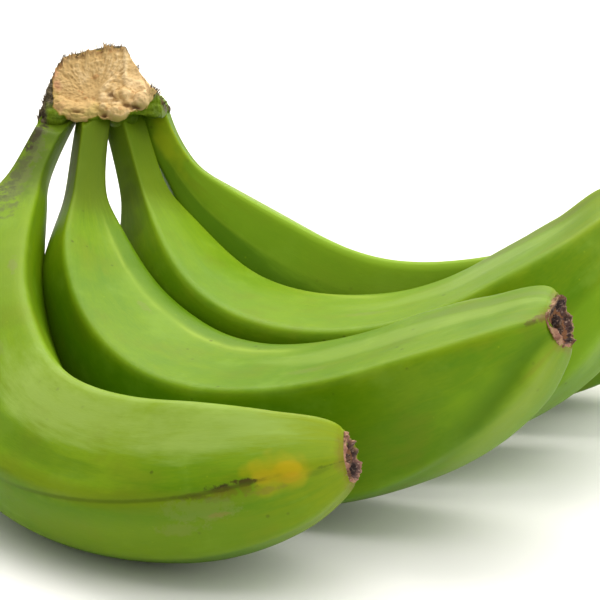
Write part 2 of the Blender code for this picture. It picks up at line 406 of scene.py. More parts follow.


# Each finger: the knots of its centre line in mm from the crown, its neck and belly radii, how its
# flats turn in degrees, and its root and ridges. Its groove: degrees round, degrees each mm, width,
# depth, start and end. Its bulge: degrees round, place, length and height. Then the shares of its
# tints: olive, ripe, painted light on the side facing up and painted shade on the side facing
# down. Then its edge, a ridge with painted shade on the flat beyond it: degrees round, degrees
# each mm, start, end, side and share. Last, the share of the painted highlight along that ridge.
NO_GROOVE = (0.0, 0.0, 1.0, 0.0, 0.0, 1.0)
NO_BULGE = (0.0, 0.0, 1.0, 0.0)
NO_EDGE = (0.0, 0.0, 0.0, 1.0, 1.0, 0.0)
FINGERS = {
    "banana_front": {
        "line": [(-12, -3.4, 1), (-31.9, -36.2, -30), (-27, -73.3, -52.3),
                 (-6.4, -117.8, -61.9), (39, -144.5, -53.2), (65.6, -142, -43.7)],
        "neck": 4.1, "belly": 19, "turn": (-23.5, 15), "grain": 1.0,
        "root": 4.5, "crispness": 13.0,
        "groove": (195.1, -0.425, 2.0, 0.9, 105.0, 206.0),
        "bulge": (3.0, 27.0, 12.0, 1.7),
        "olive": 0.60, "ripe": 0.20, "painted_light": 0.34, "painted_shade": 0.22,
        "edge": NO_EDGE, "crest": 0.0,
    },
    "banana_second": {
        "line": [(-3.1, -3.1, -1.1), (-8.5, -26.7, -35.3), (8.9, -69.2, -56.7),
                 (43.9, -97.7, -60.5), (89.9, -109.5, -43.9), (117.3, -112.2, -20.7)],
        "neck": 4.05, "belly": 19.9, "turn": (32.5, 47.5), "grain": 11.0,
        "root": 4.5, "crispness": 20.0,
        "groove": (374.0, -1.40, 6.5, 2.0, 150.0, 223.0),
        "bulge": (85.0, 45.0, 20.0, 2.7),
        "olive": 0.72, "ripe": 0.04, "painted_light": 0.12, "painted_shade": 0.60,
        "edge": (346.0, -0.125, 26.0, 128.0, -1.0, 0.50), "crest": 0.55,
    },
    "banana_third": {
        "line": [(5.1, 0.5, -1.7), (12.4, -12.2, -24.7), (20.4, -39.4, -53.8),
                 (78.9, -71.8, -61.1), (128.2, -58.9, -36.2), (140.1, -57.8, -10.4)],
        "neck": 4.5, "belly": 21.8, "turn": (26.5, 31), "grain": 23.0,
        "root": 4.5, "crispness": 20.0,
        "groove": NO_GROOVE, "bulge": NO_BULGE,
        "olive": 0.60, "ripe": 0.10, "painted_light": 0.26, "painted_shade": 0.45,
        "edge": (306.0, 0.15, 24.0, 110.0, -1.0, 0.45), "crest": 0.50,
    },
    "banana_back": {
        "line": [(12.7, 7.7, 0.5), (16.9, -2.3, -14.8), (44.9, -12.4, -41.4),
                 (86.7, -24, -65.3), (146.9, -22.2, -47.8), (161.7, -22.7, -25)],
        "neck": 4.15, "belly": 21.4, "turn": (-1, -10.5), "grain": 37.0,
        "root": 1.2, "crispness": 20.0,
        "groove": NO_GROOVE, "bulge": NO_BULGE,
        "olive": 0.20, "ripe": 0.10, "painted_light": 0.80, "painted_shade": 0.60,
        "edge": (101.0, -0.45, 8.0, 90.0, 1.0, 0.75), "crest": 0.12,
    },
}


def tint(share, below, above):
    """Mixes two colours by a share from 0 to 1."""
    made = node(share.tree, "ShaderNodeMix", {"data_type": "RGBA"})
    plug(made.inputs[0], share)
    for slot, colour in ((made.inputs[6], below), (made.inputs[7], above)):
        plug(slot, colour if isinstance(colour, Wire) else (*colour, 1.0))
    return Wire(made.outputs[2])


DEEP_GREEN = (0.085, 0.192, 0.0006)
LEAF_GREEN = (0.133, 0.240, 0.0010)
PALE_GREEN = (0.210, 0.318, 0.0050)
# painted light for the side facing up, painted shade for the side facing down
PAINTED_LIT_GREEN = (0.215, 0.340, 0.0110)
PAINTED_SHADE_GREEN = (0.086, 0.205, 0.0006)
NECK_OLIVE = (0.086, 0.125, 0.0010)
RIPE_YELLOW = (0.400, 0.300, 0.0040)
RUST = (0.160, 0.090, 0.0150)
DRY_BROWN = (0.030, 0.017, 0.0040)
SCUFF_GREY = (0.200, 0.190, 0.0800)
DULL_OLIVE = (0.130, 0.175, 0.0050)
CLOUDY_PALE = (0.230, 0.370, 0.0350)
# painted shade for a flat, and a painted highlight for the ridge beside it
PAINTED_FLAT_SHADE = (0.060, 0.150, 0.0006)
PAINTED_CREST_HIGHLIGHT = (0.300, 0.410, 0.0500)
SEAM_GREEN = (0.060, 0.098, 0.0002)
SEAM_SCAR = (0.060, 0.040, 0.0060)
# painted shade for a valley, and painted light for the facet past it
PAINTED_VALLEY_SHADE = (0.045, 0.115, 0.0006)
PAINTED_FACET_LIGHT = (0.225, 0.300, 0.0330)
# a painted sheen for the upper faces
PAINTED_SHEEN = (0.300, 0.415, 0.0850)
RIDGES = (47.0, 126.0, 180.0, 234.0, 313.0)  # where the flats meet, in degrees


def new_finish(name):
    """A new material, its tree and the places on its piece."""
    finish = bpy.data.materials.new(name)
    finish.use_nodes = True
    tree = finish.node_tree
    return finish, tree, Arrow(node(tree, "ShaderNodeTexCoord").outputs["Object"])


def close_finish(finish, colour, roughness, grain, shine, strength, deepest):
    """Ends a finish: its colour, roughness and shine, and how strong and deep its grain is."""
    tree = finish.node_tree
    relief = node(tree, "ShaderNodeBump", Strength=strength, Distance=deepest, Height=grain)
    coats = {
        "Base Color": colour, "Roughness": roughness, "Specular IOR Level": shine, "Normal": relief,
    }
    for label, coat in coats.items():
        plug(tree.nodes["Principled BSDF"].inputs[label], coat)
    return finish


def green_peel(name, length, facts, blots, scuffed):
    """Waxy green peel: streaked along its length, olive at the neck, yellowing at the tip."""
    finish, tree, body = new_finish(name)
    on_peel = Arrow(node(tree, "ShaderNodeUVMap", {"uv_map": "peel_map"}).outputs["UV"])
    along, around, _ = on_peel.parts()
    along = along * (UV_LENGTH / MM)  # in mm from here on
    degrees = around * 360.0
    angle = around * FULL_TURN
    wrapped = arrow(tree, along * 0.010, angle.cos(), angle.sin())

    # the green: soft lengthwise streaks over slow changes of tone
    slow = speckle(body, 24.0, 1.0, 0.4)
    streak = speckle(wrapped, 7.0, 5.0, 0.62)
    hair = speckle(wrapped, 38.0, 3.0, 0.6)
    mottle = speckle(body, 190.0, 4.0, 0.6)
    tone = slow * 0.34 + streak * 0.30 + hair * 0.20 + mottle * 0.16
    colour = tint(tone.ramp(0.36, 0.60), DEEP_GREEN, LEAF_GREEN)
    colour = tint(tone.ramp(0.52, 0.74) * 0.7, colour, PALE_GREEN)

    # painted light and shade: yellower where the peel faces up, a deeper green where it faces down
    sunny = Wire(node(tree, "ShaderNodeAttribute", {"attribute_name": "sunny"}).outputs["Fac"])
    patchy = sunny + (slow - 0.5) * 0.5 + (streak - 0.5) * 0.4
    colour = tint(patchy.ramp(0.25, 0.95) * facts["painted_light"], colour, PAINTED_LIT_GREEN)
    colour = tint(patchy.ramp(0.45, -0.20) * facts["painted_shade"], colour, PAINTED_SHADE_GREEN)

    # handling and leaf rub leave cloudy patches, some dull and olive, some pale
    cloudy = speckle(body + Vector((0.5, 0.0, 0.0)), 62.0, 4.0, 0.58) * 0.75 + streak * 0.25
    colour = tint(cloudy.ramp(0.50, 0.66) * 0.36, colour, DULL_OLIVE)
    colour = tint(cloudy.ramp(0.48, 0.34) * 0.30, colour, CLOUDY_PALE)

    # the ridges are a little paler, partly in their own colour and partly as a painted highlight
    ridge = 0.0
    for at in RIDGES:
        off = (degrees - at) / 4.5
        ridge = ridge + 1.0 / (1.0 + off * off)
    ridge_tint_and_highlight = (ridge - 0.22).least(0.0).most(1.0) * (streak.ramp(0.35, 0.60) * 0.6 + 0.4)
    colour = tint(ridge_tint_and_highlight * 0.34, colour, PALE_GREEN)

    # one ridge gets a painted highlight along it, and painted shade on the flat beyond it
    start, turn, opens, closes, way, painted_shade = facts["edge"]
    if painted_shade > 0:
        past = (degrees - (along * turn + start)) * way
        here = along.ramp(opens, opens + 14.0) * along.ramp(closes + 20.0, closes)
        crest = 1.0 / (1.0 + past * past / 7.0)
        worn = streak.ramp(0.30, 0.60) * 0.5 + 0.5
        beyond = past.ramp(0.0, 6.0) * past.ramp(100.0, 70.0)
        colour = tint(beyond * here * painted_shade, colour, PAINTED_FLAT_SHADE)
        colour = tint(crest * here * worn * facts["crest"], colour, PAINTED_CREST_HIGHLIGHT)

    # the neck is olive up to a ragged edge at the shoulder, and the tip starts to turn
    edge = along + (streak - 0.5) * 12.0 + (slow - 0.5) * 16.0 + (mottle - 0.5) * 5.0
    colour = tint(edge.ramp(38.0, 22.0) * facts["olive"], colour, NECK_OLIVE)
    turning = (along + (streak - 0.5) * 30.0).ramp(length - 30.0, length + 6.0)
    colour = tint(turning * facts["ripe"], colour, RIPE_YELLOW)
    browned = (along + (mottle - 0.5) * 6.0).ramp(length - 1.6, length + 0.4)
    colour = tint(browned * 0.50, colour, RUST)

    # tiny dark lenticels, and paler pin marks between them
    for size, threshold, dot_tint in ((210.0, 0.60, DRY_BROWN), (420.0, 0.57, PALE_GREEN)):
        dots = node(tree, "ShaderNodeTexVoronoi", Vector=body, Scale=size, Randomness=1.0)
        near_dot = Wire(dots.outputs["Distance"])
        rare = speckle(body + Vector((size, 0.0, 0.0)), 70.0, 1.0)
        dotted = near_dot.ramp(0.15, 0.05) * rare.ramp(threshold, threshold + 0.05)
        colour = tint(dotted * 0.50, colour, dot_tint)

    # bruises, scuffs and ripe blots, with blots of painted sheen, light and shade among them: place,
    # size across, colour and strength
    ragged = speckle(body, 420.0, 4.0, 0.7) - 0.5
    scratch = speckle(arrow(tree, along * 0.06, degrees * 0.30, 0.0), 6.0, 3.0, 0.65) - 0.5
    soft = speckle(body, 150.0, 2.0) - 0.5
    banded = streak * 0.5 + slow * 0.5 - 0.5
    edges = {
        "soft": (soft, 2.4), "ragged": (ragged, 4.5),
        "scratched": (scratch, 4.5), "banded": (banded, 2.4),
    }
    for at, facing, long, wide, blot_tint, strength, roughness in blots:
        across = (degrees - facing).maths("WRAP", 180.0, -180.0) / wide
        far = ((along - at) / long) ** 2.0 + across * across
        torn, bite = edges[roughness]
        inside = (far + torn * bite).ramp(1.0, 0.1) * far.ramp(2.2, 1.2)
        colour = tint(inside * strength, colour, blot_tint)

    # the groove: a scuffed dark seam on the front finger, darker on the flat past it; elsewhere a
    # valley with painted shade in it and painted light on the facet past it
    relief_of_seam = 0.0
    start, turn, width, depth, opens, closes = facts["groove"]
    if depth > 0:
        past = degrees - (along * turn + start)
        seen = along.ramp(opens + 10.0, opens + 45.0) * along.ramp(closes - 5.0, closes - 13.0)
        beyond = past.ramp(0.0, 4.0 * width) * past.ramp(13.0 * width, 5.0 * width)
    if scuffed:
        off = (past + ragged * 1.2) / 1.6
        line = 1.0 / (1.0 + off * off * off * off)
        seen = seen * along.ramp(202.0, 191.0)
        worn = along.ramp(168.0, 190.0) * along.ramp(204.0, 192.0)
        broken = (ragged + scratch).ramp(-0.15, 0.12)
        colour = tint(beyond * seen * 0.35, colour, DEEP_GREEN)
        colour = tint(line * seen * 0.62, colour, SEAM_GREEN)
        colour = tint(line * worn * broken * 0.55, colour, SEAM_SCAR)
        relief_of_seam = line * seen * -0.9
    elif depth > 0:
        # painted shade down the valley, painted light on the facet past it
        off = past.size() / (past.ramp(-2.0, 2.0) * -7.0 + 17.0)
        valley_shade = seen * off.ramp(1.9, 0.0)
        colour = tint(valley_shade * 0.66, colour, PAINTED_VALLEY_SHADE)
        colour = tint(beyond * seen * 0.48, colour, PAINTED_FACET_LIGHT)

    # the wax is duller at the neck, and pores and lengthwise fibres lie under it
    roughness = mottle * 0.10 + streak * 0.08 + edge.ramp(33.0, 21.0) * 0.10 + 0.36
    pore = speckle(body, 900.0, 2.0) * 0.35 + speckle(body, 300.0, 3.0) * 0.65
    fibre = speckle(wrapped, 60.0, 3.0)
    grain = pore * 0.5 + fibre * 0.9 + relief_of_seam
    return close_finish(
        finish, colour, roughness, grain, shine=0.12, strength=0.30, deepest=0.12 * MM
    )


# Each blot: mm from the crown, degrees round, half its length in mm and half its width in degrees,
# its colour, its strength, and whether its edge is soft, banded, ragged or scratched.
BLOTS = {
    "banana_front": (
        # painted sheen in a band along the upper belly
        (152, 64, 64, 32, (0.330, 0.450, 0.100), 0.60, "banded"),
        (60, 48, 26, 30, (0.170, 0.260, 0.010), 0.40, "banded"),
        # painted shade in a band below the sheen
        (138, 104, 38, 16, (0.075, 0.155, 0.002), 0.45, "banded"),
        (162, 124, 42, 12, (0.175, 0.220, 0.004), 0.40, "banded"),
        # paler below the seam: partly its own yellow-green, partly painted light
        (168, 160, 42, 28, (0.170, 0.260, 0.008), 0.42, "banded"),
        (200, 108, 8.5, 25, RIPE_YELLOW, 0.48, "soft"),
        (197.5, 110, 3.4, 10, (0.420, 0.300, 0.004), 0.44, "soft"),
        (202.6, 105, 3.8, 10, (0.480, 0.310, 0.004), 0.40, "soft"),
        (202, 115, 3.4, 6, (0.360, 0.230, 0.006), 0.40, "soft"),
        (188.2, 113.8, 3.4, 3.6, DRY_BROWN, 0.95, "ragged"),
        (193.4, 111, 3, 3.4, (0.045, 0.024, 0.004), 0.90, "ragged"),
        (190, 119, 7, 6.5, (0.130, 0.090, 0.008), 0.60, "ragged"),
        (183, 119.5, 4, 3, (0.060, 0.040, 0.004), 0.60, "ragged"),
        (196.5, 122, 5, 5, (0.180, 0.140, 0.020), 0.50, "ragged"),
        (184, 131, 9, 13, (0.190, 0.235, 0.055), 0.42, "ragged"),
        (187, 137, 2.2, 3, (0.260, 0.150, 0.050), 0.35, "ragged"),
        (178, 148, 6, 8, (0.190, 0.220, 0.055), 0.30, "ragged"),
        (212, 111.5, 3, 2.6, (0.045, 0.065, 0.002), 0.45, "ragged"),
        (209, 116, 3.6, 6, (0.070, 0.120, 0.003), 0.34, "banded"),
        # painted shade over the neck, just below the crown
        (10, 62, 24, 80, (0.042, 0.082, 0.002), 0.58, "soft"),
        (22, 92, 22, 36, (0.100, 0.115, 0.036), 0.70, "ragged"),
        (17, 102, 17, 26, (0.050, 0.056, 0.018), 0.60, "ragged"),
        (7, 118, 10, 24, (0.034, 0.024, 0.012), 0.85, "ragged"),
        (60, 52, 5, 4, SCUFF_GREY, 0.35, "ragged"),
        (96, 70, 6, 5, SCUFF_GREY, 0.25, "scratched"),
    ),
    "banana_second": (
        (76, 345, 28, 20, (0.150, 0.270, 0.006), 0.40, "banded"),
        (198, 350, 14, 22, (0.170, 0.270, 0.020), 0.35, "banded"),
        (198, 96, 18, 26, (0.190, 0.340, 0.004), 0.35, "soft"),
        # painted sheen along the top
        (172, 350, 46, 20, PAINTED_SHEEN, 0.30, "banded"),
        (196, 328, 22, 9, (0.140, 0.205, 0.030), 0.50, "banded"),
        (214, 44, 2.4, 8, (0.110, 0.075, 0.015), 0.80, "ragged"),
        (211.8, 50, 1.4, 4, (0.080, 0.060, 0.010), 0.65, "ragged"),
        (208, 101, 7, 4, (0.150, 0.120, 0.010), 0.40, "scratched"),
        (150, 20, 7, 6, SCUFF_GREY, 0.22, "scratched"),
        (74, 348, 5, 5, SCUFF_GREY, 0.25, "ragged"),
        (10, 60, 10, 16, (0.060, 0.050, 0.010), 0.55, "scratched"),
        # painted shade down both sides of the neck
        (12, 94, 18, 26, (0.045, 0.062, 0.001), 0.50, "soft"),
        (12, 306, 18, 26, (0.045, 0.070, 0.001), 0.50, "soft"),
    ),
    "banana_third": (
        (176, 106, 32, 24, (0.200, 0.360, 0.012), 0.50, "banded"),
        # painted sheen along the top
        (150, 350, 52, 22, PAINTED_SHEEN, 0.26, "banded"),
        (180, 323, 24, 9, (0.135, 0.165, 0.020), 0.50, "banded"),
        (120, 12, 8, 6, SCUFF_GREY, 0.22, "scratched"),
        # painted shade on the side of the neck
        (25, 95, 16, 50, (0.045, 0.065, 0.003), 0.30, "soft"),
        (190, 200, 8, 12, (0.150, 0.110, 0.012), 0.50, "scratched"),
    ),
    "banana_back": (
        # painted light on the near face
        (66, 48, 62, 46, (0.205, 0.355, 0.014), 0.62, "banded"),
        # painted light on the neck, where the crown's shadow falls
        (12, 75, 12, 45, (0.260, 0.320, 0.004), 0.65, "soft"),
        (110, 250, 14, 12, SCUFF_GREY, 0.35, "scratched"),
    ),
}


def grown_finger(name, tree, guide, facts, finish):
    """Grows a piece of a finger along its guide, and takes the guide away."""
    groove, drift, *groove_sizes = facts["groove"]
    bulge, *bulge_sizes = facts["bulge"]
    sizes = (
        facts["neck"] * MM,
        facts["belly"] * MM,
        *(math.radians(turn) for turn in facts["turn"]),
        facts["root"] * MM,
        facts["crispness"],
        math.radians(groove),
        math.radians(drift) / MM,
        *(size * MM for size in groove_sizes),
        math.radians(bulge),
        *(size * MM for size in bulge_sizes),
        facts["grain"],
    )
    asked = {label.replace(" ", "_"): size for label, size in zip(FINGER_SIZES, sizes)}
    piece = grown(name, tree, Centre_Line=guide, Finish=finish, **asked)
    bpy.data.objects.remove(guide)
    return piece


grow_peel = peel_tree()
for finger, facts in FINGERS.items():
    guide = centre_line(finger + "_line", facts["line"])
    name = finger.replace("banana", "peel")
    length = guide.data.splines[0].calc_length() / MM
    scuffed = finger == "banana_front"
    finish = green_peel(name, length, facts, BLOTS[finger], scuffed)
    peel = grown_finger(name, grow_peel, guide, facts, finish)
    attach(peel, "root")
    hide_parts(finger)

# THE BLOSSOM ENDS
# Each finger ends where the flower dried up and dropped off. A crust is left there: dark, brittle,
# sunken in the middle, with a ragged rim of torn brown skin that grips the green lip.

CRUST_ROWS = 64
CRUST_SIDES = 144
CRUST_REACH = 1.02  # how far the crust spreads, as a share of the blossom scar
CRUST_CRISPNESS = 5.0  # how sharply its five corners turn
WALL = 1.3 * MM  # how high its rim stands
HOLLOW = 2.5 * MM  # how far it drops inside the rim


def crust_tree():
    """Grows the dry crust over one blossom end."""
    tree, ask = new_tree("grow_crust", FINGER_FACTS)
    shape = FingerShape(tree, ask)
    grid, run, around = sheet(tree, CRUST_ROWS + 1, CRUST_SIDES + 1)
    tip = shape.length
    at, way, face_way, side_way = shape.frame(tip)
    angle = around * FULL_TURN

    # rows run from the hidden back, up the outside of the rim, down inside it and over the middle
    legs = ((0.0, 0.10), (0.10, 0.38), (0.38, 0.64), (0.64, 1.0))
    behind, outside, inside, middle = (run.ramp(*leg, kind="LINEAR") for leg in legs)
    share = behind * (1.0 - outside * 0.10 - inside * 0.38 - middle * 0.52)

    # the rim is torn into flaps of uneven height, and everything is crumpled
    compass = arrow(tree, angle.cos(), angle.sin(), ask["Grain"])
    flap = speckle(compass, 1.7, 2.0, 0.5)
    torn = speckle(compass, 6.0, 4.0, 0.7) - 0.5
    flat = arrow(tree, angle.cos() * share, angle.sin() * share, ask["Grain"] + run * 0.8)
    crumple = speckle(flat, 3.2, 5.0, 0.65) - 0.5
    crack = (speckle(flat + Vector((5.0, 0.0, 0.0)), 1.9, 2.0) - 0.5).size()
    cracked = crack.ramp(0.05, 0.0) * inside
    wall = flap.ramp(0.32, 0.66, 0.25, 1.25) + torn * 1.3
    height = wall * outside.ramp(0.0, 1.0) * WALL - inside.ramp(0.0, 1.0) * HOLLOW
    height = height + middle.ramp(0.0, 0.7) * (1.5 * MM) - (1.0 - behind) * (2.0 * MM) - 0.2 * MM
    height = height + crumple * outside * (2.6 * MM) - cracked * (1.2 * MM)
    radius = shape.radius(tip) * shape.reach(tip, angle, CRUST_CRISPNESS) * CRUST_REACH
    radius = radius * share * (1.0 + torn * 0.30 * (1.0 - middle) + crumple * 0.25 * outside)
    around_way = face_way * angle.cos() + side_way * angle.sin()
    place = at + around_way * radius + way * (height + shape.lean(tip, angle, radius))
    sewn_up(tree, grid, place, arrow(tree, run, around, 0.0), ask["Finish"])
    return tree


def dry_crust(name):
    """Dry blossom tissue: tan and pink flakes on the rim, purple-black in the hollow."""
    finish, tree, body = new_finish(name)
    run, _, _ = Arrow(node(tree, "ShaderNodeUVMap", {"uv_map": "peel_map"}).outputs["UV"]).parts()
    flake = speckle(body, 640.0, 3.0, 0.65)
    grit = speckle(body, 1500.0, 4.0, 0.7)
    patch = speckle(body + Vector((0.2, 0.0, 0.0)), 260.0, 2.0)

    # from the green lip inwards: rust, tan and pink flakes, then the dark hollow and a brown middle
    colour = tint(flake.ramp(0.40, 0.60), (0.100, 0.046, 0.024), (0.340, 0.215, 0.120))
    colour = tint(patch.ramp(0.52, 0.60) * 0.5, colour, (0.360, 0.170, 0.130))
    colour = tint(grit.ramp(0.60, 0.74), colour, (0.600, 0.470, 0.330))
    edge = run + (flake - 0.5) * 0.30
    colour = tint(edge.ramp(0.20, 0.10) * 0.85, colour, (0.110, 0.040, 0.008))
    hollow = tint(patch.ramp(0.45, 0.60), (0.016, 0.008, 0.007), (0.070, 0.035, 0.030))
    hollow = tint(grit.ramp(0.54, 0.66) * 0.8, hollow, (0.300, 0.205, 0.155))
    colour = tint(edge.ramp(0.36, 0.48), colour, hollow)
    colour = tint(edge.ramp(0.80, 0.95) * 0.5, colour, (0.200, 0.110, 0.060))
    roughness = 0.95 - flake * 0.25
    grain = grit * 0.5 + flake
    return close_finish(
        finish, colour, roughness, grain, shine=0.25, strength=0.9, deepest=0.25 * MM
    )


grow_crust = crust_tree()
crust_finish = dry_crust("blossom_crust")
for finger, facts in FINGERS.items():
    guide = centre_line(finger + "_line", facts["line"])
    name = finger.replace("banana", "blossom_end")
    crust = grown_finger(name, grow_crust, guide, facts, crust_finish)
    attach(crust, "root")

# THE CROWN
# The pad of stalk tissue that all four necks grow out of, cut off the bunch with a knife. The cut
# dried to a tan face whose fibres fan up to a torn rim, above lumps and lips of swollen flesh that
# hang over the necks. Round the back it keeps its brown-green skin.

# Its sections: across, bottom, top, front and back, in mm.
CROWN_SECTIONS = (
    (-17.6, -2.0, 0.5, -6.0, 3.0),
    (-16.6, -1.4, 3.0, -8.5, 6.0),
    (-15.0, -0.6, 8.0, -10.0, 8.5),
    (-12.5, 0.3, 13.2, -11.0, 10.5),
    (-10.5, 0.7, 15.2, -11.5, 11.5),
    (-4.5, 0.9, 16.6, -11.5, 12.5),
    (1.5, 0.9, 17.8, -11.5, 13.5),
    (6.0, 1.2, 18.2, -10.5, 14.5),
    (8.0, 1.5, 16.2, -10.0, 15.0),
    (10.2, 1.8, 12.4, -9.5, 15.5),
    (12.6, 1.6, 9.4, -9.0, 15.5),
    (14.6, 1.0, 7.2, -8.0, 15.0),
    (16.4, 0.0, 4.6, -4.5, 13.5),
    (17.4, 0.2, 2.6, 0.0, 11.0),
)
CROWN_SIDES = 56
CROWN_SQUARENESS = 4.5  # 2 is an oval section, more is squarer
# The flat cut and the smaller one beside it: a point on each, in mm, and the way it faces.
KNIFE_CUTS = (
    (CUT_AT, CUT_WAY),
    ((13.0, -6.0, 4.0), (0.45, -0.66, 0.60)),
)
# The swellings along the lower edge of the cut: their middle and their three half-sizes, across,
# out of the cut and up it, in mm.
LIPS = (
    ((-11.4, -3.9, 4.6), (2.0, 1.5, 2.6)),
    ((-9.2, -4.5, 3.2), (2.9, 2.0, 2.9)),
    ((-6.2, -5.1, 2.6), (3.6, 2.3, 2.9)),
    ((-3.2, -4.9, 3.1), (2.5, 1.9, 2.7)),
    ((1.0, -5.6, 2.9), (2.4, 2.0, 2.4)),
    ((4.2, -5.9, 2.7), (3.3, 2.5, 2.6)),
    ((7.2, -5.2, 3.9), (2.3, 2.2, 2.6)),
    ((6.0, -3.2, 7.0), (3.0, 1.6, 2.4)),
    ((10.9, -5.0, 5.7), (2.3, 2.1, 2.7)),
    ((13.0, -4.1, 7.1), (1.9, 1.7, 2.0)),
)
# The green stubs that the necks grow from: their middle and their half-sizes, in mm.
STUBS = (
    ((-12.4, -2.6, 1.0), (4.0, 4.2, 4.5)),
    ((-2.9, -2.4, 1.0), (4.3, 4.3, 4.5)),
    ((5.3, -1.0, 1.0), (4.6, 4.9, 4.5)),
    ((12.7, 6.4, 0.0), (4.4, 4.7, 3.6)),
    ((13.6, -0.6, 3.2), (3.4, 4.6, 3.4)),
    ((17.3, 6.0, 0.4), (1.1, 1.1, 1.3)),
)
# The lower and left edge of the tan face: across and up, in mm. Below it the crown is still green.
EDGE_OF_CUT = (
    (-13.8, 11.0), (-13.4, 5.2), (-12.0, 3.2), (-9.4, 0.9), (-6.6, 0.1), (-3.5, 0.6), (-1.0, 1.9),
    (2.1, 0.8), (4.6, 0.5), (7.4, 1.5), (9.2, 3.1), (11.4, 3.2), (13.8, 6.1), (16.2, 9.0),
)
FAN_FROM = (-2.4, 5.6)  # where the fibres fan out from, across and up
# The pits between the swellings: across, up, half-width, half-height and depth, in mm.
PITS = (
    (9.5, 4.7, 1.9, 0.9, 1.9),
    (0.7, 2.7, 1.1, 0.8, 1.4),
    (2.6, 6.6, 1.4, 0.7, 0.8),
    (6.8, 5.2, 1.5, 0.5, 0.8),
    (-7.0, 3.4, 2.4, 0.5, 0.5),
)
GRAIN_SIZE = 0.24 * MM  # the size of the crown's faces


def eased(value, start, end):
    """Goes softly from 0 to 1 while the value goes from start to end."""
    share = np.clip((value - start) / (end - start), 0.0, 1.0)
    return share * share * (3.0 - 2.0 * share)


def crown_shell():
    """The crown as sections across it, cut by the knife, in metres from the world origin."""
    angles = np.linspace(0.0, FULL_TURN, CROWN_SIDES, endpoint=False)
    across = np.sign(np.cos(angles)) * np.abs(np.cos(angles)) ** (2 / CROWN_SQUARENESS)
    upward = np.sign(np.sin(angles)) * np.abs(np.sin(angles)) ** (2 / CROWN_SQUARENESS)
    shell = bmesh.new()
    rings = []
    for along, bottom, top, front, back in CROWN_SECTIONS:
        middle = np.array((along, (front + back) / 2, (bottom + top) / 2))
        ring = middle + np.stack(
            [0 * across, (back - front) / 2 * across, (top - bottom) / 2 * upward], axis=1
        )
        falling = np.clip(ring[:, 1] - 1.0, 0.0, None) * eased(along, 5.0, 8.5) * 0.42
        ring[:, 2] -= falling * (1.0 + upward) / 2
        ring += CROWN_AT
        rings.append([shell.verts.new(point * MM) for point in ring])
    for low, high in zip(rings, rings[1:]):
        for k in range(CROWN_SIDES):
            after = (k + 1) % CROWN_SIDES
            shell.faces.new((low[k], low[after], high[after], high[k]))
    shell.faces.new(rings[0])
    shell.faces.new(rings[-1])
    for point, facing in KNIFE_CUTS:
        cut = bmesh.ops.bisect_plane(
            shell,
            geom=shell.verts[:] + shell.edges[:] + shell.faces[:],
            dist=1e-7,
            plane_co=Vector((CROWN_AT + point) * MM),
            plane_no=Vector(facing),
            clear_outer=True,
        )
        rim = [item for item in cut["geom_cut"] if isinstance(item, bmesh.types.BMEdge)]
        bmesh.ops.contextual_create(shell, geom=rim)
    out = Vector(CUT_WAY).normalized()
    right = (Vector((1, 0, 0)) - out * out.x).normalized()
    up = out.cross(right) if out.cross(right).z > 0 else right.cross(out)
    for middle, half in LIPS + STUBS:
        lump = bmesh.ops.create_uvsphere(shell, u_segments=32, v_segments=20, radius=1.0)
        for vertex in lump["verts"]:
            sideways, proud, upward = (size * share for size, share in zip(half, vertex.co))
            spot = Vector(CROWN_AT + middle) + right * sideways + out * proud + up * upward
            vertex.co = spot * MM
    bmesh.ops.recalc_face_normals(shell, faces=shell.faces)
    mesh = bpy.data.meshes.new("crown_cut")
    shell.to_mesh(mesh)
    shell.free()
    return mesh


def lumps(points, size):
    """Rounded lumps from 0 to 1, packed side by side, so many mm across."""
    near = [noise.voronoi(Vector(point))[0][0] for point in points / size]
    return 1.0 - np.clip(near, 0.0, 1.0) ** 2


def rough(points, size):
    """Uneven from about -0.5 to 0.5, in patches so many mm across."""
    return np.array([noise.fractal(Vector(point), 0.9, 2.0, 3) for point in points / size])


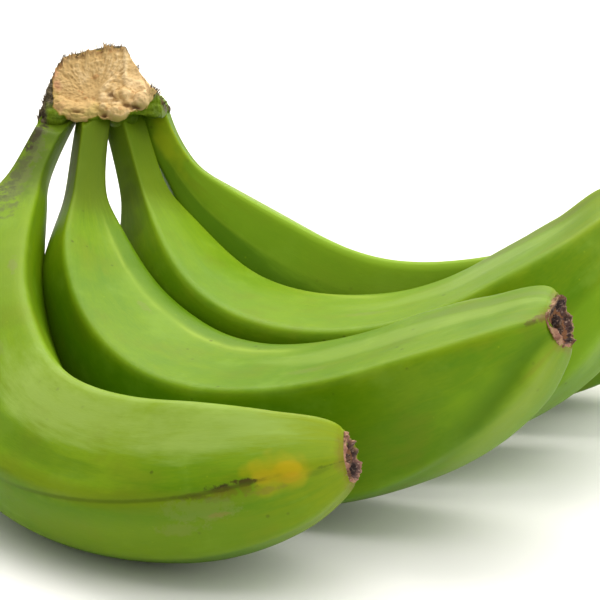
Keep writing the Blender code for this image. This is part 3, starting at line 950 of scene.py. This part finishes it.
def work_the_crown(piece):
    """Raises the fibres, lumps and skin of the crown. Notes what each point is made of, and the
    painted shade of its pits.
    """
    mesh = piece.data
    points = np.empty(len(mesh.vertices) * 3)
    mesh.vertices.foreach_get("co", points)
    points = points.reshape(-1, 3) / MM - CROWN_AT
    x, _, z = points.T
    out = np.array(CUT_WAY) / np.linalg.norm(CUT_WAY)
    proud = np.max([(points - at) @ way / np.linalg.norm(way) for at, way in KNIFE_CUTS], axis=0)
    on_cut = eased(proud, -1.5, -0.4)
    edge = np.interp(x, *np.transpose(EDGE_OF_CUT), left=14.0)
    uneven = rough(points, 2.2)
    right_side = eased(x, 6.5, 8.5) * eased(proud, -6.5, -4.5)
    tan = np.maximum(on_cut, right_side) * eased(z - edge + uneven * 1.2, -0.25, 0.25)

    # fibres that fan up from the middle, in coarse bundles and fine threads
    off_x, off_z = x - FAN_FROM[0], z - FAN_FROM[1]
    spread, reach = np.arctan2(off_z, off_x), np.hypot(off_x, off_z)
    fanned = np.stack([spread * 6.0, reach * 0.22, 0 * x], axis=1)
    bundle = 1.0 - np.abs(rough(fanned, 1.6)) * 3.2
    thread = 1.0 - np.abs(rough(fanned + 40.0, 0.42)) * 3.0
    in_fan = eased(off_z + 0.5 * np.minimum(-off_x, 0.0), 0.3, 1.8) * eased(reach, 1.5, 6.0) * on_cut
    crest = (bundle * 0.60 + thread * 0.40) * in_fan
    raised = crest * 0.32

    # the fan is hollow, with a crease down its right side and a facet that falls away beyond it
    raised -= 0.7 * np.exp(-(((x + 4.0) / 6.5) ** 2) - ((z - 10.5) / 4.0) ** 2) * on_cut
    crease = np.exp(-(((x - 6.3) / 0.6) ** 2)) * eased(z, 9.0, 12.0) * on_cut
    raised += crease * 0.6 - np.clip(x - 6.8, 0.0, 5.0) * 0.22 * eased(z, 8.0, 11.0) * on_cut

    # swollen flesh at the lower right, and the folds of the lips
    swollen = 1.0 - eased(np.hypot((x - 6.4) / 8.4, (z - 6.4) / 5.4), 0.72, 1.05)
    lump = lumps(points, 3.4) * 0.7 + lumps(points + 9.0, 1.5) * 0.3
    raised += swollen * (lump - 0.35) * 2.0 * on_cut
    lip = on_cut * (1.0 - eased(z - edge, 2.2, 5.0)) * (1.0 - swollen)
    fold = lumps(points * (0.45, 1.0, 1.1) + 5.0, 1.5)
    raised += lip * (fold - 0.5) * 0.9

    # pits, and a fine crust over everything
    # the pits are noted too, to be painted in shade
    pit_shade = 0.0 * x
    for across, up, wide, high, deep in PITS:
        far = ((x - across) / wide) ** 2 + ((z - up) / high) ** 2
        hole = np.exp(-far - uneven * 1.5 * eased(far, 0.0, 2.0)) * on_cut
        raised -= hole * deep
        pit_shade += hole
    raised += rough(points, 0.9) * 0.25
    points += out * raised[:, None]

    # the rim is torn: teeth of fibre stand up along the top
    top = np.interp(x, [row[0] for row in CROWN_SECTIONS], [row[2] for row in CROWN_SECTIONS])
    near_rim = eased(z, top - 2.2, top - 0.2) * eased(proud, -2.2, -0.6)
    along_rim = np.stack([x, 0 * x, 0 * x], axis=1)
    teeth = rough(along_rim, 2.6) * 1.6 + rough(along_rim, 0.7) * 1.0
    points[:, 2] += near_rim * np.clip(teeth, -0.5, 1.3)

    mesh.vertices.foreach_set("co", ((points + CROWN_AT) * MM).ravel())
    mesh.update()
    pale = np.clip(0.5 + crest * 0.35 + crease * 0.5 + swollen * (lump - 0.45) * on_cut, 0.0, 1.0)
    # the notes: tan share, paleness, painted shade in the pits with a darker rim, and the lip
    notes = np.stack([tan, pale, np.clip(pit_shade + near_rim * 0.7, 0.0, 1.0), lip * 1.0], axis=1)
    tissue = mesh.attributes.new("tissue", "FLOAT_COLOR", "POINT")
    tissue.data.foreach_set("color", notes.ravel())
    torn = eased(z, top - 1.3, top - 0.3) * eased(proud, -4.0, -2.0) * eased(-proud, -0.3, 0.2)
    fringed = mesh.attributes.new("fringed", "FLOAT", "POINT")
    fringed.data.foreach_set("value", torn * eased(uneven, -0.30, 0.10))


def dry_cut(name):
    """Dried cut stalk: tan fibre on the face, green at its edge, brown skin behind."""
    finish, tree, body = new_finish(name)
    tissue = node(tree, "ShaderNodeAttribute", {"attribute_name": "tissue"})
    tan, pale, pit_shade = Arrow(tissue.outputs["Color"]).parts()
    lip = Wire(tissue.outputs["Alpha"])
    here = body - Vector(CROWN_AT * MM)
    x, _, z = here.parts()
    cloud = speckle(body, 160.0, 3.0, 0.6)
    grit = speckle(body, 900.0, 4.0, 0.7)

    # tan flesh, deep orange-brown where it is low and pale where it is proud
    tone = pale * 0.52 + cloud * 0.30 + grit * 0.18
    colour = tint(tone.ramp(0.26, 0.50), (0.395, 0.235, 0.085), (0.520, 0.350, 0.150))
    colour = tint(tone.ramp(0.54, 0.78), colour, (0.680, 0.505, 0.275))
    colour = tint(x.ramp(4.0 * MM, 12.0 * MM) * 0.45, colour, (0.680, 0.500, 0.290))
    pink = cloud.ramp(0.46, 0.60) * x.ramp(-9.0 * MM, -13.0 * MM) * 0.65
    colour = tint(pink, colour, (0.560, 0.270, 0.160))
    rusty = speckle(body + Vector((0.3, 0.0, 0.0)), 300.0, 3.0, 0.6).ramp(0.60, 0.70)
    colour = tint(rusty * 0.45, colour, (0.330, 0.130, 0.035))
    # painted shade in the pits, and a darker rim along the top
    colour = tint(pit_shade.ramp(0.25, 0.95) * 0.80, colour, (0.130, 0.060, 0.016))
    greener = lip * speckle(body, 240.0, 2.0).ramp(0.40, 0.62)
    colour = tint(greener * 0.40, colour, (0.400, 0.360, 0.090))

    # a yellow-brown line where the tan ends, then green flesh, then brown skin at the left and back
    skin = tint(grit.ramp(0.40, 0.62), (0.034, 0.026, 0.012), (0.120, 0.095, 0.050))
    flesh = tint(cloud.ramp(0.38, 0.62), (0.062, 0.105, 0.0015), (0.120, 0.185, 0.004))
    behind = (x * 0.1 - z + (cloud - 0.5) * 5.0 * MM).ramp(-6.5 * MM, -4.0 * MM)
    strip = (x + (grit - 0.5) * (2.5 * MM) + z * 0.12).ramp(-15.4 * MM, -14.2 * MM)
    nub = (x + z * 0.3 + (cloud - 0.5) * (1.5 * MM)).ramp(18.2 * MM, 17.5 * MM)
    ended = tint(strip * behind * nub, skin, flesh)
    border = tan * (1.0 - tan) * 4.0
    colour = tint(tan, ended, colour)
    colour = tint(border * 0.60, colour, (0.330, 0.230, 0.020))
    roughness = 0.92 - (1.0 - tan) * 0.25 - grit * 0.12
    grain = grit * 0.6 + speckle(body, 2600.0, 3.0) * 0.4
    return close_finish(
        finish, colour, roughness, grain, shine=0.15, strength=0.6, deepest=0.18 * MM
    )


crown_finish = dry_cut("crown_cut")
crown = set_down("crown_cut", crown_shell())
fuse = crown.modifiers.new("fuse", "REMESH")
fuse.mode = "VOXEL"
fuse.voxel_size = GRAIN_SIZE
fuse.use_smooth_shade = True
soften = crown.modifiers.new("soften", "SMOOTH")
soften.factor = 0.5
soften.iterations = 14
fused = plain_mesh(crown)
crown.modifiers.clear()
crown.data = fused
work_the_crown(crown)
crown.data.materials.clear()
crown.data.materials.append(crown_finish)
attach(crown, "root")
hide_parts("crown")

# THE FRINGE OF THE CROWN
# Where the knife left the stalk its last fibres tore instead of cutting. They have dried to short
# stiff hairs that stand up along the rim, pale ones among dark ones.

HAIRS = 2.4e6  # to the square metre
LONGEST_HAIR = 1.7 * MM
THICKEST_HAIR = 0.16 * MM

def fringe_tree():
    """Grows tapered hairs out of the rim of the crown."""
    sizes = {"Hairs": "Float", "Longest": "Float", "Thickest": "Float"}
    tree, ask = new_tree("grow_fringe", {"Rim": "Object", **sizes, "Finish": "Material"})
    found = node(tree, "GeometryNodeObjectInfo", Object=ask["Rim"])
    torn = node(tree, "GeometryNodeInputNamedAttribute", {"data_type": "FLOAT"}, Name="fringed")
    rooted = node(
        tree,
        "GeometryNodeDistributePointsOnFaces",
        Mesh=Wire(found.outputs["Geometry"]),
        Density=Wire(torn.outputs["Attribute"]) * ask["Hairs"],
        Seed=4,
    )

    # one hair: a bent line that tapers to a point
    line = node(
        tree,
        "GeometryNodeCurveQuadraticBezier",
        Resolution=5,
        Start=(0.0, 0.0, -0.2),
        Middle=(0.0, 0.0, 0.6),
        End=(0.35, 0.0, 1.0),
    )
    along = Wire(node(tree, "GeometryNodeSplineParameter").outputs["Factor"])
    ring = node(tree, "GeometryNodeCurvePrimitiveCircle", Resolution=5)
    plug(ring.inputs["Radius"], ask["Thickest"] / ask["Longest"])
    hair = node(
        tree,
        "GeometryNodeCurveToMesh",
        Curve=line,
        Profile_Curve=ring,
        Scale=1.05 - along,
        Fill_Caps=True,
    )

    # each stands out of the rim, mostly upward, with its own lean and length
    lean = node(tree, "FunctionNodeRandomValue", {"data_type": "FLOAT_VECTOR"}, Seed=2)
    lean.inputs[0].default_value = (-0.7, -0.5, 0.5)
    lean.inputs[1].default_value = (0.7, 0.5, 1.4)
    standing = Arrow(rooted.outputs["Normal"]) * 0.5 + Arrow(lean.outputs[0])
    facing = node(tree, "FunctionNodeAlignRotationToVector", {"axis": "Z"}, Vector=standing)
    size = node(tree, "FunctionNodeRandomValue", {"data_type": "FLOAT"}, Seed=7)
    size.inputs[2].default_value = 0.25
    size.inputs[3].default_value = 1.0
    length = Wire(size.outputs[1]) * ask["Longest"]
    planted = node(
        tree,
        "GeometryNodeInstanceOnPoints",
        Points=rooted,
        Instance=hair,
        Rotation=facing,
        Scale=arrow(tree, length, length, length),
    )
    close_tree(tree, planted, ask["Finish"])
    return tree


def torn_fibre(name):
    """Dried fibre: straw-coloured to dark brown from one hair to the next."""
    finish, tree, body = new_finish(name)
    x, _, _ = (body - Vector(CROWN_AT * MM)).parts()
    patch = speckle(body, 420.0, 3.0, 0.6)
    grit = speckle(body, 2400.0, 3.0, 0.7)
    darker = x.ramp(-5.0 * MM, -9.0 * MM) * 0.22 + x.ramp(5.0 * MM, 8.0 * MM) * 0.08
    colour = tint((patch + darker).ramp(0.46, 0.62), (0.420, 0.275, 0.120), (0.070, 0.045, 0.022))
    colour = tint(grit.ramp(0.45, 0.70) * 0.5, colour, (0.150, 0.100, 0.045))
    roughness = grit * 0.2 + 0.7
    return close_finish(
        finish, colour, roughness, grit, shine=0.15, strength=0.4, deepest=0.05 * MM
    )


fringe = grown(
    "crown_fringe",
    fringe_tree(),
    Rim=crown,
    Hairs=HAIRS,
    Longest=LONGEST_HAIR,
    Thickest=THICKEST_HAIR,
    Finish=torn_fibre("torn_fibre"),
)
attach(fringe, "root")

# THE FLOOR
# A plain sheet of pale matt paper, laid flat and far wider than the view. The bunch lies on it,
# and it is only there to catch the shadows.

FLOOR_CORNERS = [(-2, -2, 0), (2, -2, 0), (2, 3, 0), (-2, 3, 0)]  # in metres
floor_mesh = bpy.data.meshes.new("floor")
floor_mesh.from_pydata(FLOOR_CORNERS, [], [(0, 1, 2, 3)])
floor = set_down("floor", floor_mesh)
paper = bpy.data.materials.new("pale_floor")
paper.use_nodes = True
matt = paper.node_tree.nodes["Principled BSDF"]
matt.inputs["Base Color"].default_value = (0.87, 0.87, 0.87, 1)
matt.inputs["Roughness"].default_value = 0.8
floor_mesh.materials.append(paper)

# THE LIGHTS
# Three wide soft boxes of thin white cloth over lamps, hung behind, at the right and overhead. The
# pale walls of the room fill the shadows.

LIT_MIDDLE = Vector((0.0, 0.0, 0.03))
# Each box: where it hangs and how wide it is, in metres, then its power in watts and its colour.
SOFT_BOXES = {
    "back_box": ((0.0, 0.6, 0.85), 1.0, 11.5, (1.0, 0.965, 0.88)),
    "right_box": ((0.75, -0.25, 0.65), 1.0, 6.0, (1.0, 0.98, 0.94)),
    "over_box": ((0.15, 0.0, 1.1), 1.2, 8.0, (1.0, 0.98, 0.93)),
}
for name, (at, width, power, light_tint) in SOFT_BOXES.items():
    light = bpy.data.lights.new(name, "AREA")
    light.shape = "RECTANGLE"
    light.size = width
    light.size_y = width
    light.energy = power
    light.color = light_tint
    lamp = set_down(name, light)
    lamp.location = at
    lamp.rotation_euler = (LIT_MIDDLE - Vector(at)).to_track_quat("-Z", "Y").to_euler()
world = bpy.data.worlds.new("room")
bpy.context.scene.world = world
world.use_nodes = True
walls = world.node_tree.nodes["Background"]
walls.inputs["Color"].default_value = (1.0, 0.975, 0.92, 1)
walls.inputs["Strength"].default_value = 0.52
bpy.context.scene.view_settings.view_transform = "Standard"

# THE CAMERA
# A studio camera on a stand in front of the bunch. Its long lens looks a little down on it, with
# everything sharp.

ELEVATION = math.radians(19.36)
DISTANCE = 0.816
AIM = Vector((-0.0085, 0.0197, 0.0396))
lens = bpy.data.cameras.new("camera")
lens.sensor_width = 36.0
lens.lens = 186.2
camera = set_down("camera", lens)
camera.location = AIM + Vector((0.0, -DISTANCE * math.cos(ELEVATION), DISTANCE * math.sin(ELEVATION)))
camera.rotation_euler = (math.pi / 2 - ELEVATION, 0.0, 0.0)
bpy.context.scene.camera = camera
